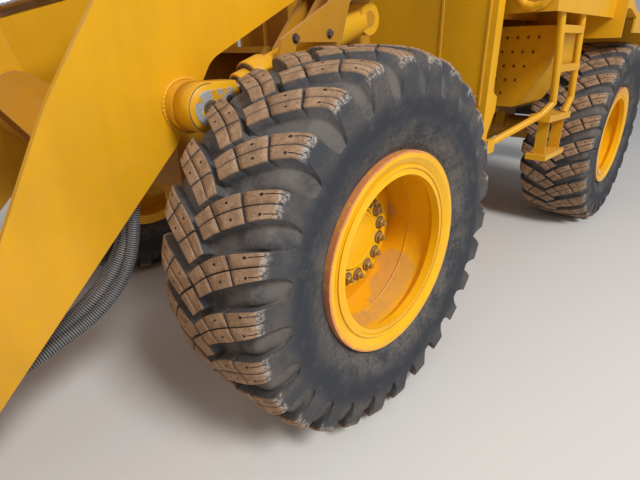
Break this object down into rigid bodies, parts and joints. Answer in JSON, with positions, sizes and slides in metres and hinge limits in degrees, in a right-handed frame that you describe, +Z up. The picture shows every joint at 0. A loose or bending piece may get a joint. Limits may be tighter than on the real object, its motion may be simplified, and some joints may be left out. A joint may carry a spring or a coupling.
{
  "type": "wheel loader",
  "caption": "Compact wheel loader with articulated steering, an enclosed cab, twin lift arms, a parallel bucket linkage, deep-lugged tyres and side ladders.",
  "frame": {"origin": "on the ground under the middle of the machine, midway between its ends and its sides", "axes": "+X forward towards the bucket, +Y to the machine's left, +Z up"},
  "size_m": [6.872, 2.4, 3.0398],
  "materials": {
    "loader_yellow": "semi-gloss, dusty",
    "rim_yellow": "gloss, chipped at the flange",
    "dark_paint": "satin",
    "tyre_rubber": "dusty",
    "worn_steel": "worn by earth",
    "hard_chrome": "polished",
    "cast_metal": "oily and dusty",
    "hose_rubber": "ribbed sleeve",
    "pane_glass": "tinted",
    "lamp_glass": "clear lens",
    "tail_red": "ribbed lens",
    "seat_fabric": "woven",
    "dash_plastic": "grained"
  },
  "bodies": {
    "chassis": {"rear_frame": "loader_yellow", "rear_yoke": "loader_yellow", "cab_stands": "loader_yellow", "cab_base": "loader_yellow", "platforms": "loader_yellow", "ladders": "loader_yellow", "cab": "loader_yellow", "cab_roof": "loader_yellow", "cab_glass": "pane_glass", "seat": "seat_fabric", "console": "dash_plastic", "hood": "loader_yellow", "engine": "cast_metal", "gearbox": "cast_metal", "counterweight": "dark_paint", "tow_hitch": "dark_paint", "tanks": "loader_yellow", "stacks": "dark_paint", "work_lamps": "lamp_glass", "tail_lamps": "tail_red", "rear_axle": "loader_yellow"},
    "front_half": {"front_frame": "loader_yellow", "towers": "loader_yellow", "front_axle": "loader_yellow", "head_lamps": "lamp_glass"},
    "wheel_front_left": {"tyre_front_left": "tyre_rubber", "rim_front_left": "rim_yellow"},
    "wheel_front_right": {"tyre_front_right": "tyre_rubber", "rim_front_right": "rim_yellow"},
    "wheel_rear_left": {"tyre_rear_left": "tyre_rubber", "rim_rear_left": "rim_yellow"},
    "wheel_rear_right": {"tyre_rear_right": "tyre_rubber", "rim_rear_right": "rim_yellow"},
    "boom": {"lift_arm_left": "loader_yellow", "lift_arm_right": "loader_yellow", "arm_cross_tube": "loader_yellow", "hose_1": "hose_rubber", "hose_2": "hose_rubber", "hose_3": "hose_rubber"},
    "scoop": {"bucket": "worn_steel"},
    "lever": {"tilt_lever": "loader_yellow"},
    "link": {"tilt_link": "loader_yellow"},
    "lift_left_barrel_body": {"lift_left_barrel": "loader_yellow"},
    "lift_left_rod_body": {"lift_left_rod": "hard_chrome"},
    "lift_right_barrel_body": {"lift_right_barrel": "loader_yellow"},
    "lift_right_rod_body": {"lift_right_rod": "hard_chrome"},
    "tilt_barrel_body": {"tilt_barrel": "loader_yellow"},
    "tilt_rod_body": {"tilt_rod": "hard_chrome"},
    "steer_left_barrel_body": {"steer_left_barrel": "loader_yellow"},
    "steer_left_rod_body": {"steer_left_rod": "hard_chrome"},
    "steer_right_barrel_body": {"steer_right_barrel": "loader_yellow"},
    "steer_right_rod_body": {"steer_right_rod": "hard_chrome"},
    "door_left_body": {"door_left": "loader_yellow", "door_glass_left": "pane_glass"},
    "door_right_body": {"door_right": "loader_yellow", "door_glass_right": "pane_glass"}
  },
  "joints": [
    {"name": "steering", "type": "hinge", "parent": "chassis", "child": "front_half", "pos_m": [-0.3275, 0, 0.985], "axis": [0, 0, 1], "range_deg": [-35, 35]},
    {"name": "wheel_front_left_spin", "type": "hinge", "parent": "front_half", "child": "wheel_front_left", "pos_m": [1.11, 0.925, 0.665], "axis": [0, 1, 0], "continuous": true},
    {"name": "wheel_front_right_spin", "type": "hinge", "parent": "front_half", "child": "wheel_front_right", "pos_m": [1.11, -0.925, 0.665], "axis": [0, 1, 0], "continuous": true},
    {"name": "wheel_rear_left_spin", "type": "hinge", "parent": "chassis", "child": "wheel_rear_left", "pos_m": [-1.765, 0.925, 0.665], "axis": [0, 1, 0], "continuous": true},
    {"name": "wheel_rear_right_spin", "type": "hinge", "parent": "chassis", "child": "wheel_rear_right", "pos_m": [-1.765, -0.925, 0.665], "axis": [0, 1, 0], "continuous": true},
    {"name": "boom_lift", "type": "hinge", "parent": "front_half", "child": "boom", "pos_m": [0.705, 0, 1.8], "axis": [0, -1, 0], "range_deg": [0, 82]},
    {"name": "bucket_tilt", "type": "hinge", "parent": "boom", "child": "scoop", "pos_m": [2.495, 0, 0.25], "axis": [0, -1, 0], "range_deg": [-125, 42]},
    {"name": "lever_swing", "type": "hinge", "parent": "boom", "child": "lever", "pos_m": [1.87, 0, 1.19], "axis": [0, -1, 0], "range_deg": [-126, 43]},
    {"name": "link_swing", "type": "hinge", "parent": "lever", "child": "link", "pos_m": [1.93048, 0, 1.43257], "axis": [0, -1, 0], "range_deg": [-43, 126]},
    {"name": "lift_left_barrel_swing", "type": "hinge", "parent": "front_half", "child": "lift_left_barrel_body", "pos_m": [0.69, 0.612, 1.425], "axis": [0, -1, 0], "range_deg": [-1, 76.3]},
    {"name": "lift_left_rod_slide", "type": "slide", "parent": "lift_left_barrel_body", "child": "lift_left_rod_body", "axis": [0.9457, 0, -0.3251], "range_m": [0, 0.4859]},
    {"name": "lift_right_barrel_swing", "type": "hinge", "parent": "front_half", "child": "lift_right_barrel_body", "pos_m": [0.69, -0.612, 1.425], "axis": [0, -1, 0], "range_deg": [-1, 76.3]},
    {"name": "lift_right_rod_slide", "type": "slide", "parent": "lift_right_barrel_body", "child": "lift_right_rod_body", "axis": [0.9457, 0, -0.3251], "range_m": [0, 0.4859]},
    {"name": "tilt_barrel_swing", "type": "hinge", "parent": "boom", "child": "tilt_barrel_body", "pos_m": [0.705, 0, 1.8], "axis": [0, -1, 0], "range_deg": [-10.83, 4.3]},
    {"name": "tilt_rod_slide", "type": "slide", "parent": "tilt_barrel_body", "child": "tilt_rod_body", "axis": [0.9579, 0, -0.2872], "range_m": [-0.1199, 0.3508]},
    {"name": "steer_left_barrel_swing", "type": "hinge", "parent": "chassis", "child": "steer_left_barrel_body", "pos_m": [-0.8075, 0.43, 0.76], "axis": [0, 0, 1], "range_deg": [-12.28, 12.28]},
    {"name": "steer_left_rod_slide", "type": "slide", "parent": "steer_left_barrel_body", "child": "steer_left_rod_body", "axis": [0.9645, -0.2641, 0], "range_m": [-0.1751, 0.1751]},
    {"name": "steer_right_barrel_swing", "type": "hinge", "parent": "chassis", "child": "steer_right_barrel_body", "pos_m": [-0.8075, -0.43, 0.76], "axis": [0, 0, 1], "range_deg": [-12.28, 12.28]},
    {"name": "steer_right_rod_slide", "type": "slide", "parent": "steer_right_barrel_body", "child": "steer_right_rod_body", "axis": [0.9645, 0.2641, 0], "range_m": [-0.1751, 0.1751]},
    {"name": "door_left_hinge", "type": "hinge", "parent": "chassis", "child": "door_left_body", "pos_m": [-1.0975, 0.718, 2.2], "axis": [0, 0, 1], "range_deg": [0, 100]},
    {"name": "door_right_hinge", "type": "hinge", "parent": "chassis", "child": "door_right_body", "pos_m": [-1.0975, -0.718, 2.2], "axis": [0, 0, -1], "range_deg": [0, 100]}
  ],
  "couplings": [
    {"joint": "lever_swing", "follows": "bucket_tilt", "ratio": 1},
    {"joint": "link_swing", "follows": "bucket_tilt", "ratio": -1},
    {"joint": "tilt_barrel_swing", "follows": "bucket_tilt", "ratio": 0.0786},
    {"joint": "tilt_rod_slide", "follows": "bucket_tilt", "m_per_rad": -0.15943},
    {"joint": "lift_left_barrel_swing", "follows": "boom_lift", "ratio": 0.91833},
    {"joint": "lift_left_rod_slide", "follows": "boom_lift", "m_per_rad": 0.33602},
    {"joint": "lift_right_barrel_swing", "follows": "boom_lift", "ratio": 0.91833},
    {"joint": "lift_right_rod_slide", "follows": "boom_lift", "m_per_rad": 0.33602},
    {"joint": "steer_left_barrel_swing", "follows": "steering", "ratio": 0.33662},
    {"joint": "steer_left_rod_slide", "follows": "steering", "m_per_rad": -0.2834},
    {"joint": "steer_right_barrel_swing", "follows": "steering", "ratio": 0.33662},
    {"joint": "steer_right_rod_slide", "follows": "steering", "m_per_rad": 0.2834}
  ]
}
